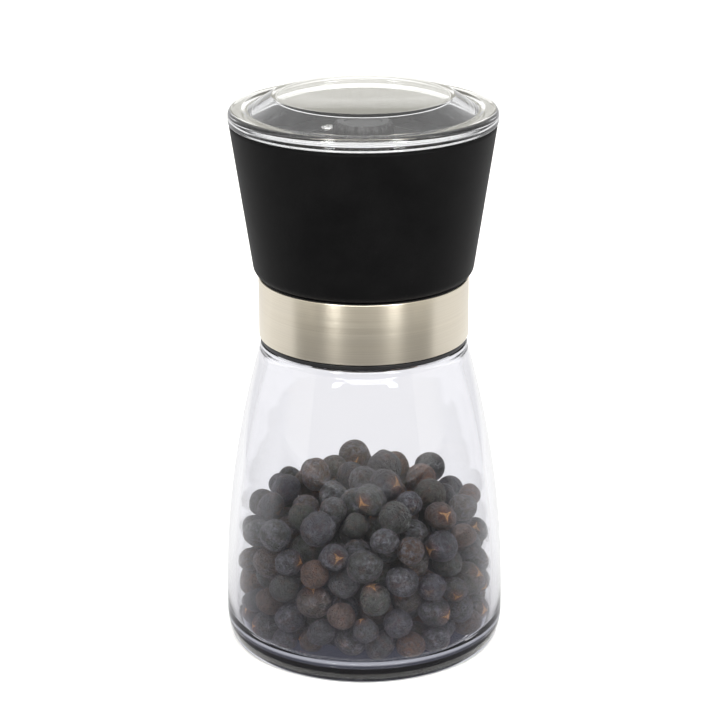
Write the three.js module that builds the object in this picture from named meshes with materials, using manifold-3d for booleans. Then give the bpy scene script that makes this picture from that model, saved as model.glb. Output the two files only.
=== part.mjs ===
import * as THREE from 'three';
import { mergeVertices } from 'three/addons/utils/BufferGeometryUtils.js';
import { ParametricGeometry } from 'three/addons/geometries/ParametricGeometry.js';
import Module from 'manifold-3d';

// Pepper mill with a glass jar below and a turning head above. Millimetres, +Z up.
// The origin is the centre of the jar's base ring, on the surface that the mill stands on.

const wasm = await Module();
wasm.setup();

// Clearances
const seatGap = 0.3; // between fixed pieces that rest on or in each other
const turnGap = 0.4; // between pieces that turn or slide on each other
const cut = 1; // how far a cutting tool runs past what it cuts

// Fineness of round shapes
const roundSegments = 40;
const smallSegments = 20;
const screwSegments = 12;
const cornerSteps = 2;

// Glass jar
const jarHeight = 87.4;
const jarMaxRadius = 33.8;
const jarWall = 2.3;
const bellyHeight = 10; // where the side starts to lean in
const heelHeight = 6.3;
const heelWidth = 2.2; // how far the heel swells beyond the base ring
const baseRingWidth = 3.6;
const pushUp = 0.8; // hollow under the base
const floorThickness = 1.7;
const neckHeight = 12.2;
const neckRadius = 21.4;
const neckWall = 2.6;
const shoulderLedge = 3.4; // shoulder beyond the neck
const lipRound = 1;

// Peppercorns, as one heap
const heapWallHeight = 31;
const heapPeak = 50;
const heapGap = 0.5;

// Screw thread between jar and collar
const threadPitch = 4;
const threadDepth = 1.1;
const threadCrest = 1;
const threadRoot = 1.8;
const threadTurns = 1.25;
const threadSunk = 0.4; // how deep a ridge is rooted in its wall
const threadStart = 4.2; // first turn of the jar's thread above the shoulder

// Sealing washer, collar and band
const washerThickness = 1.2;
const collarWall = 1.3;
const collarPlate = 2.2;
const collarRimHeight = 1.1;
const collarRimWidth = 0.4;
const bandThickness = 0.55;

// Feed spider, its tower and the glide ring
const feedLedge = 6.2; // collar plate inside the jar's mouth, round the feed hole
const spiderPlate = 2.6;
const towerWall = 1.8;
const towerBead = 1.1;
const towerBeadHeight = 1;
const armWidth = 3;
const armHeight = 3.5;
const armCount = 3;
const hubWall = 2.24; // round the corners of the square bore
const hubHeight = 4.5;
const glideThickness = 0.8;

// Screws
const screwCount = 3;
const screwShank = 1;
const screwHead = 1.8;
const screwHeadHeight = 1.2;
const screwLength = 5.5;
const screwEdge = 0.6; // plate left round a screw's head

// Spindle, spring and inner burr
const squareWidth = 5;
const stubRadius = 2;
const stubLength = 8;
const spindleFootLip = 0.64; // foot beyond the corners of the hub's bore
const spindleFootHeight = 1.2;
const washerSheet = 0.8;
const springLength = 6.6;
const springWire = 0.9;
const springTurns = 4;
const cupGap = 0.66; // between the spring and the cup round it
const burrTopRadius = 11.7;
const burrTipRadius = 6.4;
const burrRim = 1.8; // straight fluted stretch at the wide end
const burrTeeth = 24;

// Outer burr
const outerBurrWall = 2.9;
const burrStep = 1.3; // how much shorter the outer burr is than the inner one
const grindGap = 0.6;
const feedFlare = 1.1;

// Adjusting knob
const knobRadius = 7.2;
const knobHeight = 7.6;
const knobGrips = 18;
const knobRoof = 1.5;

// Turning head
const headTopRadius = 31.3;
const headHeight = 36.4;
const headWall = 2.2;
const headRimWall = 3;
const headOverhang = 0.85; // bottom of the head beyond the band
const headCorner = 2.6;
const headFootRim = 1.2; // flat under the head inside its rounded corner
const headFootHeight = 2.4;
const dishDepth = 8.4;
const insertWall = 2;
const insertFlange = 1.7;
const insertPlate = 1.9;
const hopperGap = 2.2; // between the spider's tower and the hopper round it
const burrSink = 1.8; // burr pocket below the dish
const gussetShare = 0.3; // of the room between the burr pocket and the ledge
const ledgeHeight = 1.7;
const ledgeWidth = 1.5;
const retainerThickness = 1.4;
const retainerOverlap = 1.9; // how far the retainer covers the outer burr

// Clear dust cap
const capOverhang = 0.15;
const capFlange = 3.2;
const capWall = 1.7;
const capRise = 3.2; // raised disc above the flange
const capRing = 4.45; // flat ring round the dome
const domeSlope = 5.9; // radial width of the dome between ring and disc
const plugDepth = 4.4;
const plugWall = 1.4;
const plugRibs = 6;
const plugRibSize = 0.8;

// Heights worked out from the stack
const shoulderZ = jarHeight - neckHeight;
const washerZ = jarHeight + seatGap;
const plateZ = washerZ + washerThickness + seatGap;
const collarTop = plateZ + collarPlate;
const collarBottom = shoulderZ + seatGap;
const bandBottom = collarBottom + collarRimHeight + seatGap;
const headBottom = collarTop + turnGap;
const headTop = headBottom + headHeight;
const spiderZ = collarTop + seatGap;
const glideZ = spiderZ + spiderPlate + seatGap;
const flangeZ = glideZ + glideThickness + seatGap;
const beadZ = flangeZ + insertFlange + seatGap;
const hubTop = spiderZ + hubHeight;
const springWasherZ = hubTop + seatGap;
const springZ = springWasherZ + washerSheet + seatGap;
const cupZ = springZ + springLength + seatGap;
const burrZ = cupZ + washerSheet + seatGap;
const dishZ = headTop - dishDepth;
const outerBurrTop = dishZ - burrSink;
const burrTop = outerBurrTop - 0.2;
const burrLength = burrTop - burrZ; // the burrs fill the height between the spring and the dish
const outerBurrZ = outerBurrTop - burrLength + burrStep;
const retainerZ = outerBurrTop + seatGap;
const burrWasherZ = burrTop + seatGap;
const knobZ = burrWasherZ + washerSheet + seatGap;
const capZ = headTop + seatGap;

// Radii worked out from neighbours
const shoulderRadius = neckRadius + shoulderLedge;
const collarInner = neckRadius + threadDepth + seatGap;
const collarOuter = collarInner + collarWall;
const bandInner = collarOuter + seatGap;
const bandOuter = bandInner + bandThickness;
const headBottomRadius = bandOuter + headOverhang;
const feedRadius = neckRadius - neckWall - feedLedge;
const towerRadius = feedRadius + towerWall;
const spiderRadius = towerRadius + 2 * (screwHead + screwEdge);
const spiderScrewCircle = (towerRadius + spiderRadius) / 2;
const squareCorner = squareWidth / Math.SQRT2;
const sheetBore = squareCorner + turnGap;
const hubBore = squareWidth + 2 * seatGap;
const hubCorner = hubBore / Math.SQRT2;
const hubRadius = hubCorner + hubWall;
const springRadius = sheetBore + seatGap + springWire / 2;
const throatRadius = burrTopRadius + grindGap;
const outerBurrRadius = throatRadius + outerBurrWall;
const pocketRadius = outerBurrRadius + seatGap;
const retainerRadius = pocketRadius + 2 * screwHead + seatGap;
const pocketWallRadius = retainerRadius + seatGap;
const retainerScrewCircle = (pocketRadius + pocketWallRadius) / 2;
const hopperRadius = towerRadius + towerBead + hopperGap;
const dishRadius = headTopRadius - headRimWall;
const ledgeRadius = dishRadius - seatGap - ledgeWidth;
const gussetRadius = pocketWallRadius + gussetShare * (ledgeRadius - pocketWallRadius);
const capRadius = headTopRadius + capOverhang;
const domeRadius = capRadius - capRing;
const discRadius = domeRadius - domeSlope;
const plugRadius = dishRadius - seatGap - plugRibSize / 2;

const point = (r, z) => new THREE.Vector2(r, z);

// Points of an outline of [radius, height, rounding] corners; a rounded corner becomes a short arc.
function outlinePoints(corners) {
  const count = corners.length;
  return corners.flatMap(([r, z, rounding = 0], index) => {
    const here = point(r, z);
    if (rounding === 0) return [here];
    const toward = (step) => {
      const [otherR, otherZ] = corners[(index + step + count) % count];
      const side = point(otherR, otherZ).sub(here);
      return here.clone().add(side.setLength(rounding));
    };
    return new THREE.QuadraticBezierCurve(toward(-1), here, toward(1)).getPoints(cornerSteps);
  });
}

function signedVolume(positions, index) {
  const [a, b, c] = [new THREE.Vector3(), new THREE.Vector3(), new THREE.Vector3()];
  let sum = 0;
  for (let i = 0; i < index.length; i += 3) {
    a.fromBufferAttribute(positions, index[i]);
    b.fromBufferAttribute(positions, index[i + 1]);
    c.fromBufferAttribute(positions, index[i + 2]);
    sum += a.dot(b.cross(c)) / 6;
  }
  return sum;
}

// Joins shared vertices, drops the slivers that collapse at an axis or a tip, and faces the surface outward.
function weld(geometry) {
  geometry.deleteAttribute('normal');
  geometry.deleteAttribute('uv');
  const merged = mergeVertices(geometry, 1e-4);
  const old = merged.index.array;
  const index = [];
  for (let i = 0; i < old.length; i += 3) {
    const [a, b, c] = [old[i], old[i + 1], old[i + 2]];
    if (a !== b && b !== c && c !== a) index.push(a, b, c);
  }
  if (signedVolume(merged.attributes.position, index) < 0) index.reverse();
  merged.setIndex(index);
  return merged;
}

// A solid of revolution from a closed outline, or from one that starts and ends on the axis.
function revolve(corners, segments = roundSegments) {
  const points = outlinePoints(corners);
  if (points[0].x > 0) points.push(points[0].clone());
  return weld(new THREE.LatheGeometry(points, segments).rotateX(Math.PI / 2));
}

// A closed outline revolved with teeth: each corner's fourth number is its tooth depth, its fifth the
// angle by which the teeth have run round there.
function fluted(corners, teeth, toothShape) {
  const ring = [...corners, corners[0]];
  const surface = (u, v, target) => {
    const [r, z, , depth = 0, run = 0] = ring[Math.round(v * (ring.length - 1))];
    const step = Math.round(u * teeth * toothShape.length) % toothShape.length;
    const radius = r - depth * toothShape[step];
    const angle = u * 2 * Math.PI + run;
    target.set(radius * Math.cos(angle), radius * Math.sin(angle), z);
  };
  return weld(new ParametricGeometry(surface, teeth * toothShape.length, ring.length - 1));
}

// A helical ridge on a wall, standing outward (facing 1) or inward (facing -1), with both ends run out.
function threadRidge(wallRadius, startZ, facing) {
  const steps = 24 * threadTurns;
  const section = [
    [0, -threadRoot / 2],
    [1, -threadCrest / 2],
    [1, threadCrest / 2],
    [0, threadRoot / 2],
  ];
  const surface = (u, v, target) => {
    const [out, along] = section[Math.round(u * section.length) % section.length];
    const fade = Math.min(1, v * 8, (1 - v) * 8);
    const radius = wallRadius + facing * (out * fade * (threadSunk + threadDepth) - threadSunk);
    const angle = v * threadTurns * 2 * Math.PI;
    const z = startZ + v * threadTurns * threadPitch + along * fade;
    target.set(radius * Math.cos(angle), radius * Math.sin(angle), z);
  };
  return weld(new ParametricGeometry(surface, section.length, steps));
}

function toManifold(geometry) {
  const vertProperties = new Float32Array(geometry.attributes.position.array);
  const triVerts = new Uint32Array(geometry.index.array);
  return new wasm.Manifold(new wasm.Mesh({ numProp: 3, vertProperties, triVerts }));
}

function toGeometry(solid) {
  const { vertProperties, triVerts } = solid.getMesh();
  const geometry = new THREE.BufferGeometry();
  geometry.setAttribute('position', new THREE.BufferAttribute(vertProperties, 3));
  geometry.setIndex(new THREE.BufferAttribute(triVerts, 1));
  return geometry;
}

function join(body, ...additions) {
  return toGeometry(additions.reduce((sum, part) => sum.add(toManifold(part)), toManifold(body)));
}

function carve(body, ...tools) {
  return toGeometry(tools.reduce((rest, tool) => rest.subtract(toManifold(tool)), toManifold(body)));
}

function box(width, depth, bottom, top, x = 0) {
  return weld(new THREE.BoxGeometry(width, depth, top - bottom).translate(x, 0, (top + bottom) / 2));
}

function cylinder(radius, bottom, top, segments = smallSegments) {
  return revolve([[0, bottom], [radius, bottom], [radius, top], [0, top]], segments);
}

const flatRing = (inner, outer, bottom, top, segments) =>
  revolve([[inner, bottom], [outer, bottom], [outer, top], [inner, top]], segments);

// Copies of a shape spaced evenly round the axis.
function aroundAxis(count, makeShape, startAngle = 0) {
  return Array.from({ length: count }, (_, i) =>
    makeShape().rotateZ(startAngle + (i * 2 * Math.PI) / count));
}

const shaded = (color, roughness, metalness = 0, opacity = 1) =>
  new THREE.MeshStandardMaterial({
    color, roughness, metalness, opacity, transparent: opacity < 1,
  });

const model = new THREE.Group();

function addPiece(name, geometry, material) {
  const mesh = new THREE.Mesh(geometry, material);
  mesh.name = name;
  mesh.geometry.computeVertexNormals();
  model.add(mesh);
}

// The jar's side, moved inward by an inset: upright at the belly and leaning in as it rises.
function jarSide(inset, endRadius, endZ) {
  const bellyRadius = jarMaxRadius - inset;
  const control = point(bellyRadius, (bellyHeight + endZ) / 2);
  return new THREE.QuadraticBezierCurve(point(bellyRadius, bellyHeight), control, point(endRadius, endZ));
}

// Jar cavity from floor to shoulder, inset from the glass by a gap.
function cavitySide(gap) {
  return jarSide(jarWall + gap, shoulderRadius - jarWall - gap, shoulderZ - 3);
}

// The outer heel: a quarter oval from the base ring to the belly.
function heelPoints() {
  const ringEdge = jarMaxRadius - heelWidth;
  return new THREE.EllipseCurve(ringEdge, heelHeight, heelWidth, heelHeight, -Math.PI / 2, 0)
    .getPoints(4)
    .map((p) => [p.x, p.y]);
}

const floorZ = pushUp + floorThickness;
const innerHeel = heelHeight - 1.5;

function glassJar() {
  const ringInner = jarMaxRadius - heelWidth - baseRingWidth;
  const bore = neckRadius - neckWall;
  const outer = jarSide(0, shoulderRadius, shoulderZ - 1).getPoints(7).map((p) => [p.x, p.y]);
  const inner = cavitySide(0).getPoints(6).reverse().map((p) => [p.x, p.y]);
  const shell = revolve([
    [0, pushUp],
    [ringInner - pushUp, pushUp],
    [ringInner, 0],
    ...heelPoints(),
    ...outer,
    [shoulderRadius - 0.5, shoulderZ],
    [neckRadius, shoulderZ],
    [neckRadius, jarHeight, lipRound],
    [bore, jarHeight, lipRound],
    [bore, shoulderZ + 1],
    ...inner,
    [jarMaxRadius - jarWall, floorZ, innerHeel],
    [0, floorZ],
  ]);
  return join(shell, threadRidge(neckRadius, shoulderZ + threadStart, 1));
}

// The heap fills the jar to its wall height and rises to a rounded peak.
function peppercornHeap() {
  const side = cavitySide(heapGap);
  const sideTo = side.getPoints(40).filter((p) => p.y < heapWallHeight);
  const top = sideTo.at(-1);
  const crown = new THREE.QuadraticBezierCurve(
    top, point(top.x * 0.35, heapPeak), point(0, heapPeak));
  return revolve([
    [0, floorZ + heapGap],
    [top.x, floorZ + heapGap, innerHeel],
    ...sideTo.filter((p, i) => i % 4 === 0).map((p) => [p.x, p.y]),
    ...crown.getPoints(5).map((p) => [p.x, p.y]),
  ], 32);
}

function neckCollar() {
  const rim = collarOuter + collarRimWidth;
  const shell = revolve([
    [collarInner, collarBottom],
    [rim, collarBottom, 0.3],
    [rim, collarBottom + collarRimHeight],
    [collarOuter, collarBottom + collarRimHeight],
    [collarOuter, collarTop],
    [feedRadius, collarTop],
    [feedRadius, plateZ],
    [collarInner, plateZ],
  ]);
  const ridge = threadRidge(collarInner, shoulderZ + threadStart - threadPitch / 2, -1);
  const pilots = aroundAxis(screwCount, () =>
    cylinder(screwShank + seatGap, plateZ - cut, collarTop + cut, screwSegments)
      .translate(spiderScrewCircle, 0, 0));
  return carve(join(shell, ridge), ...pilots);
}

function steelBand() {
  return revolve([
    [bandInner, bandBottom],
    [bandOuter, bandBottom, 0.2],
    [bandOuter, collarTop, 0.2],
    [bandInner, collarTop],
  ]);
}

// A square hole or shaft, with its flats along X and Y.
const square = (width, bottom, top) => box(width, width, bottom, top);

function feedSpider() {
  const body = revolve([
    [feedRadius, spiderZ],
    [spiderRadius, spiderZ],
    [spiderRadius, spiderZ + spiderPlate],
    [towerRadius, spiderZ + spiderPlate],
    [towerRadius, beadZ],
    [towerRadius + towerBead, beadZ],
    [towerRadius, beadZ + towerBeadHeight],
    [feedRadius, beadZ + towerBeadHeight],
  ]);
  const reach = (feedRadius + towerRadius) / 2;
  const arms = aroundAxis(armCount, () =>
    box(reach, armWidth, spiderZ, spiderZ + armHeight, reach / 2), Math.PI / armCount);
  const whole = join(body, cylinder(hubRadius, spiderZ, hubTop), ...arms);
  const screwHoles = aroundAxis(screwCount, () =>
    revolve([
      [0, spiderZ - cut],
      [screwShank + seatGap, spiderZ - cut],
      [screwShank + seatGap, spiderZ + spiderPlate - screwHeadHeight - seatGap],
      [screwHead + seatGap, spiderZ + spiderPlate - seatGap],
      [screwHead + seatGap, spiderZ + spiderPlate + cut],
      [0, spiderZ + spiderPlate + cut],
    ], screwSegments).translate(spiderScrewCircle, 0, 0));
  const bore = square(hubBore, spiderZ - cut, hubTop + cut);
  return carve(whole, bore, ...screwHoles);
}

// A countersunk screw with its head's top at a height.
function countersunkScrew(topZ) {
  return revolve([
    [0, topZ],
    [screwHead, topZ],
    [screwShank, topZ - screwHeadHeight],
    [screwShank, topZ - screwLength + 1],
    [0, topZ - screwLength],
  ], screwSegments);
}

// A pan-head screw with its head's underside at a height.
function panHeadScrew(seatZ) {
  return revolve([
    [0, seatZ + screwHeadHeight],
    [screwHead, seatZ + screwHeadHeight, 0.5],
    [screwHead, seatZ],
    [screwShank, seatZ],
    [screwShank, seatZ - screwLength + 1],
    [0, seatZ - screwLength],
  ], screwSegments);
}

function spindle() {
  const squareEnd = burrTop - 1.2;
  const footTop = spiderZ - seatGap;
  const foot = cylinder(hubCorner + spindleFootLip, footTop - spindleFootHeight, footTop);
  const stub = revolve([
    [0, squareEnd - cut],
    [stubRadius, squareEnd - cut],
    [stubRadius, squareEnd + stubLength, 0.5],
    [0, squareEnd + stubLength],
  ], screwSegments);
  return join(square(squareWidth, footTop - cut, squareEnd), foot, stub);
}

// The helix of the spring's wire, with closed flat ends.
class SpringPath extends THREE.Curve {
  getPoint(t, target = new THREE.Vector3()) {
    const angle = t * springTurns * 2 * Math.PI;
    const bottom = springZ + springWire / 2;
    const climb = (springLength - springWire) * THREE.MathUtils.smoothstep(t, 0.08, 0.92);
    return target.set(springRadius * Math.cos(angle), springRadius * Math.sin(angle), bottom + climb);
  }
}

function burrSpring() {
  const wire = new THREE.Shape().absarc(0, 0, springWire / 2, 0, 2 * Math.PI);
  return weld(new THREE.ExtrudeGeometry(wire, {
    steps: 14 * springTurns, curveSegments: 6, extrudePath: new SpringPath(),
  }));
}

function springCup() {
  const rim = springRadius + springWire / 2 + cupGap + washerSheet;
  return revolve([
    [sheetBore, cupZ],
    [rim - washerSheet, cupZ],
    [rim - washerSheet, cupZ - 1.2],
    [rim, cupZ - 1.2],
    [rim, cupZ + washerSheet],
    [sheetBore, cupZ + washerSheet],
  ], smallSegments);
}

const toothProfile = [0, 1, 0.5];

// Cone with helical teeth that deepen towards the narrow, feeding end.
function innerBurr() {
  const bore = sheetBore + 0.2;
  const rimZ = burrTop - burrRim;
  const cone = fluted([
    [bore, burrZ, 0],
    [burrTipRadius, burrZ, 0, 1, 0],
    [(burrTipRadius + burrTopRadius) / 2, (burrZ + rimZ) / 2, 0, 0.9, 0.2],
    [burrTopRadius, rimZ, 0, 0.6, 0.4],
    [burrTopRadius, burrTop - 0.5, 0, 0.6, 0.45],
    [burrTopRadius - 1, burrTop, 0, 0.2, 0.45],
    [bore, burrTop, 0],
  ], burrTeeth, toothProfile);
  return join(cone, squareCollar(bore));
}

// The web inside the burr's bore that grips the square shaft.
function squareCollar(bore) {
  const ring = cylinder(bore + seatGap, burrZ + 2, burrTop - 2);
  return carve(ring, square(hubBore, burrZ, burrTop));
}

function outerBurr() {
  const flareRadius = throatRadius + feedFlare;
  const middleZ = THREE.MathUtils.lerp(outerBurrZ, outerBurrTop, 0.45);
  return fluted([
    [outerBurrRadius, outerBurrZ, 0],
    [outerBurrRadius, outerBurrTop, 0],
    [throatRadius + 0.5, outerBurrTop, 0, -0.5, -0.2],
    [throatRadius, outerBurrTop - 0.5, 0, -0.5, -0.2],
    [throatRadius, middleZ, 0, -0.6, -0.1],
    [flareRadius, outerBurrZ, 0, -0.9, 0],
  ], burrTeeth, toothProfile);
}

function adjustingKnob() {
  const grip = 0.6;
  const knob = fluted([
    [stubRadius + turnGap, knobZ],
    [knobRadius - 1.6, knobZ, 0, 0],
    [knobRadius, knobZ + 1.2, 0, grip],
    [knobRadius, knobZ + knobHeight - 1, 0, grip],
    [knobRadius - 1, knobZ + knobHeight, 0, grip / 2],
    [stubRadius + turnGap, knobZ + knobHeight],
  ], knobGrips, [0, 0.4, 1, 0.4]);
  const roof = cylinder(stubRadius + 2 * turnGap, knobZ + knobHeight - knobRoof, knobZ + knobHeight);
  return join(knob, roof);
}

// Outer radius of the head's straight, leaning side at a height.
function headRadiusAt(z) {
  return THREE.MathUtils.mapLinear(z, headBottom, headTop, headBottomRadius, headTopRadius);
}

const insertTop = dishZ;
const ledgeZ = insertTop - insertPlate - seatGap;

function headShell() {
  const innerAt = (z) => headRadiusAt(z) - headWall;
  const footRadius = headBottomRadius - headCorner - headFootRim;
  const footTop = headBottom + headFootHeight;
  return revolve([
    [innerAt(footTop), footTop],
    [footRadius, footTop],
    [footRadius, headBottom],
    [headBottomRadius, headBottom, headCorner],
    [headTopRadius, headTop, 0.6],
    [dishRadius, headTop, 0.4],
    [dishRadius, ledgeZ],
    [ledgeRadius, ledgeZ],
    [ledgeRadius, ledgeZ - ledgeHeight],
    [innerAt(ledgeZ - ledgeHeight - 2), ledgeZ - ledgeHeight - 2],
  ]);
}

// The inner body of the head: a hopper tube that turns on the spider's tower, the outer burr's pocket
// and the dish that ground pepper falls across.
function headInsert() {
  const flangeRadius = towerRadius + turnGap;
  const shelfRadius = throatRadius + feedFlare + 0.5;
  const shelfZ = outerBurrZ - seatGap;
  const funnelZ = shelfZ - 3.2;
  const body = revolve([
    [flangeRadius, flangeZ],
    [hopperRadius + insertWall, flangeZ],
    [hopperRadius + insertWall, funnelZ],
    [pocketWallRadius, shelfZ],
    [pocketWallRadius, insertTop - insertPlate - 2],
    [gussetRadius, insertTop - insertPlate],
    [dishRadius - seatGap, insertTop - insertPlate],
    [dishRadius - seatGap, insertTop],
    [pocketWallRadius, insertTop],
    [pocketWallRadius, outerBurrTop],
    [pocketRadius, outerBurrTop],
    [pocketRadius, shelfZ],
    [shelfRadius, shelfZ],
    [shelfRadius, shelfZ - 1.6],
    [hopperRadius, funnelZ],
    [hopperRadius, flangeZ + insertFlange],
    [flangeRadius, flangeZ + insertFlange],
  ]);
  const pilots = aroundAxis(screwCount, () =>
    cylinder(screwShank + seatGap, outerBurrTop - screwLength, outerBurrTop + cut, screwSegments)
      .translate(retainerScrewCircle, 0, 0));
  return carve(body, ...pilots);
}

function burrRetainer() {
  const top = retainerZ + retainerThickness;
  const ring = revolve([
    [outerBurrRadius - retainerOverlap, retainerZ],
    [retainerRadius, retainerZ],
    [retainerRadius, top],
    [outerBurrRadius - retainerOverlap + 0.6, top],
  ]);
  const holes = aroundAxis(screwCount, () =>
    cylinder(screwShank + seatGap, retainerZ - cut, top + cut, screwSegments)
      .translate(retainerScrewCircle, 0, 0));
  return carve(ring, ...holes);
}

// A clear lid: flange on the head's rim, dome up to a flat disc, and a ribbed plug inside the dish.
function dustCap() {
  const flangeTop = capZ + capFlange;
  const discTop = flangeTop + capRise;
  const plugInner = plugRadius - plugWall;
  const lid = revolve([
    [0, discTop],
    [discRadius, discTop, 0.8],
    [domeRadius, flangeTop - 0.4, 0.8],
    [domeRadius + 1.2, flangeTop, 0.6],
    [capRadius, flangeTop, 1.2],
    [capRadius, capZ, 0.3],
    [plugRadius, capZ],
    [plugRadius, capZ - plugDepth],
    [plugInner, capZ - plugDepth],
    [plugInner, flangeTop - capWall - 1],
    [discRadius - 1, discTop - capWall],
    [0, discTop - capWall],
  ]);
  const ribs = aroundAxis(plugRibs, () =>
    box(plugRibSize, plugRibSize, capZ - plugDepth + 0.5, capZ - 0.6, plugRadius));
  return join(lid, ...ribs);
}

const glass = shaded(0xe6edeb, 0.05, 0, 0.35);
const clearPlastic = shaded(0xf2f5f6, 0.08, 0, 0.4);
const softBlack = shaded(0x17171a, 0.7);
const plainBlack = shaded(0x1d1d1f, 0.5);
const steel = shaded(0xb9b2a3, 0.35, 1);
const ceramic = shaded(0xece8df, 0.35);
const berries = shaded(0x3f3d42, 0.6);
const silicone = shaded(0xd8d8d4, 0.6);
const whiteNylon = shaded(0xe4e2dc, 0.5);

addPiece('glass_jar', glassJar(), glass);
addPiece('peppercorns', peppercornHeap(), berries);
addPiece('sealing_washer', flatRing(neckRadius - neckWall - 0.6, neckRadius + 0.4,
  washerZ, washerZ + washerThickness), silicone);
addPiece('neck_collar', neckCollar(), plainBlack);
addPiece('steel_band', steelBand(), steel);
addPiece('feed_spider', feedSpider(), plainBlack);
aroundAxis(screwCount, () =>
  countersunkScrew(spiderZ + spiderPlate - seatGap / 2).translate(spiderScrewCircle, 0, 0))
  .forEach((screw, i) => addPiece(`spider_screw_${i + 1}`, screw, steel));
addPiece('glide_ring', flatRing(towerRadius + turnGap, spiderRadius,
  glideZ, glideZ + glideThickness), whiteNylon);
addPiece('spindle', spindle(), steel);
addPiece('spring_washer', flatRing(sheetBore, hubRadius,
  springWasherZ, springWasherZ + washerSheet, smallSegments), steel);
addPiece('burr_spring', burrSpring(), steel);
addPiece('spring_cup', springCup(), steel);
addPiece('inner_burr', innerBurr(), ceramic);
addPiece('burr_washer', flatRing(stubRadius + turnGap, burrTipRadius,
  burrWasherZ, burrWasherZ + washerSheet, smallSegments), steel);
addPiece('adjusting_knob', adjustingKnob(), plainBlack);
addPiece('head_shell', headShell(), softBlack);
addPiece('head_insert', headInsert(), plainBlack);
addPiece('outer_burr', outerBurr(), ceramic);
addPiece('burr_retainer', burrRetainer(), plainBlack);
aroundAxis(screwCount, () =>
  panHeadScrew(retainerZ + retainerThickness + seatGap).translate(retainerScrewCircle, 0, 0))
  .forEach((screw, i) => addPiece(`retainer_screw_${i + 1}`, screw, steel));
addPiece('dust_cap', dustCap(), clearPlastic);

export default model;
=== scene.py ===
import math

import bpy
import numpy as np
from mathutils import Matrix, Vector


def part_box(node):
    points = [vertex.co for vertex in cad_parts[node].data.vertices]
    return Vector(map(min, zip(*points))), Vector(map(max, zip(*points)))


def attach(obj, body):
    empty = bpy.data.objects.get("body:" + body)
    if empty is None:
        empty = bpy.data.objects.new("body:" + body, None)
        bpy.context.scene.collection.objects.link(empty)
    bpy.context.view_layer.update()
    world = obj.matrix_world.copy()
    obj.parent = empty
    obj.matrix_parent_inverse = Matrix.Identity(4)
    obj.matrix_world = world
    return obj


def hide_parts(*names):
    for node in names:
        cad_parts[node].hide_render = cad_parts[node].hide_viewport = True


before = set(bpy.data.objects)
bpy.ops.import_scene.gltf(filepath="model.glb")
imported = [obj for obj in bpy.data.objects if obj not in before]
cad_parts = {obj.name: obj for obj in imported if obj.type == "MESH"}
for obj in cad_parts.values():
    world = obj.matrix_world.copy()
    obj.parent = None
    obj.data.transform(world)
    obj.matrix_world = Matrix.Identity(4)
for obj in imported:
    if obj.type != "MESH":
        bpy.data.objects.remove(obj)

# A pepper mill on a pale floor: glass jar of dried berries, steel neck band, black turning head, clear cap.
# Lengths of the pieces are millimetres, in the frame's axes; the studio's lengths and the meshes are metres.
mm = 0.001
tau = 2 * math.pi
seatGap = 0.3  # between fixed pieces that rest in or on each other
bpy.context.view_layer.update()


def nodeSpan(node):
    # outer radius, bottom and top of a CAD node, in millimetres
    low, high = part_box(node)
    return high.x / mm, low.z / mm, high.z / mm


def rounded(corners, steps=5):
    # closed outline of [radius, height, rounding] corners; each rounding is an arc tangent to both sides
    points = []
    flat = [np.array(c[:2], float) for c in corners]
    for i, corner in enumerate(corners):
        here = flat[i]
        size = corner[2] if len(corner) > 2 else 0
        if size == 0:
            points.append(here)
            continue
        back = flat[i - 1] - here
        ahead = flat[(i + 1) % len(flat)] - here
        back = back / np.linalg.norm(back)
        ahead = ahead / np.linalg.norm(ahead)
        half = 0.5 * math.acos(np.clip(back @ ahead, -1, 1))
        middle = (back + ahead) / np.linalg.norm(back + ahead)
        centre = here + middle * size / math.sin(half)
        start = here + back * size / math.tan(half) - centre
        end = here + ahead * size / math.tan(half) - centre
        sweep = math.acos(np.clip(start @ end / size ** 2, -1, 1))
        for t in np.linspace(0, 1, steps):
            mix = (math.sin((1 - t) * sweep) * start + math.sin(t * sweep) * end) / math.sin(sweep)
            points.append(centre + mix)
    return np.array(points)


def finer(points, step):
    # the same open outline with extra points, so that no straight is longer than step
    rows = []
    for a, b in zip(points[:-1], points[1:]):
        count = max(1, math.ceil(np.linalg.norm(b - a) / step))
        rows.append(a + (b - a) * np.linspace(0, 1, count, endpoint=False)[:, None])
    return np.vstack(rows + [points[-1:]])


def bezier(a, control, b, count):
    # quadratic curve: (1-t)^2 a + 2t(1-t) control + t^2 b
    t = np.linspace(0, 1, count)[:, None]
    return (1 - t) ** 2 * np.array(a) + 2 * t * (1 - t) * np.array(control) + t ** 2 * np.array(b)


def meshFromGrid(name, grid, wrapRows=False):
    # grid is rows x columns x 3 in millimetres, closed round the columns; rows that shrink to a point
    # become one vertex, so poles and seams are closed
    rows, columns, _ = grid.shape
    flat = grid.reshape(-1, 3)
    _, first, merged = np.unique(np.round(flat, 5), axis=0, return_index=True, return_inverse=True)
    merged = merged.reshape(-1)
    i = np.arange(rows if wrapRows else rows - 1)[:, None]
    j = np.arange(columns)[None, :]
    down = (i + 1) % rows
    right = (j + 1) % columns
    quads = np.stack([i * columns + j, i * columns + right, down * columns + right, down * columns + j], -1)
    quads = merged[quads.reshape(-1, 4)]
    fresh = quads != np.roll(quads, 1, axis=1)
    kept = fresh.sum(1) >= 3
    quads, fresh = quads[kept], fresh[kept]
    loops = quads[fresh]
    sizes = fresh.sum(1)
    mesh = bpy.data.meshes.new(name)
    mesh.vertices.add(len(first))
    mesh.vertices.foreach_set("co", (flat[first] * mm).astype(np.float32).reshape(-1))
    mesh.loops.add(len(loops))
    mesh.loops.foreach_set("vertex_index", loops.astype(np.int32))
    mesh.polygons.add(len(sizes))
    mesh.polygons.foreach_set("loop_start", (np.cumsum(sizes) - sizes).astype(np.int32))
    mesh.update(calc_edges=True)
    mesh.validate()
    return mesh


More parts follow.
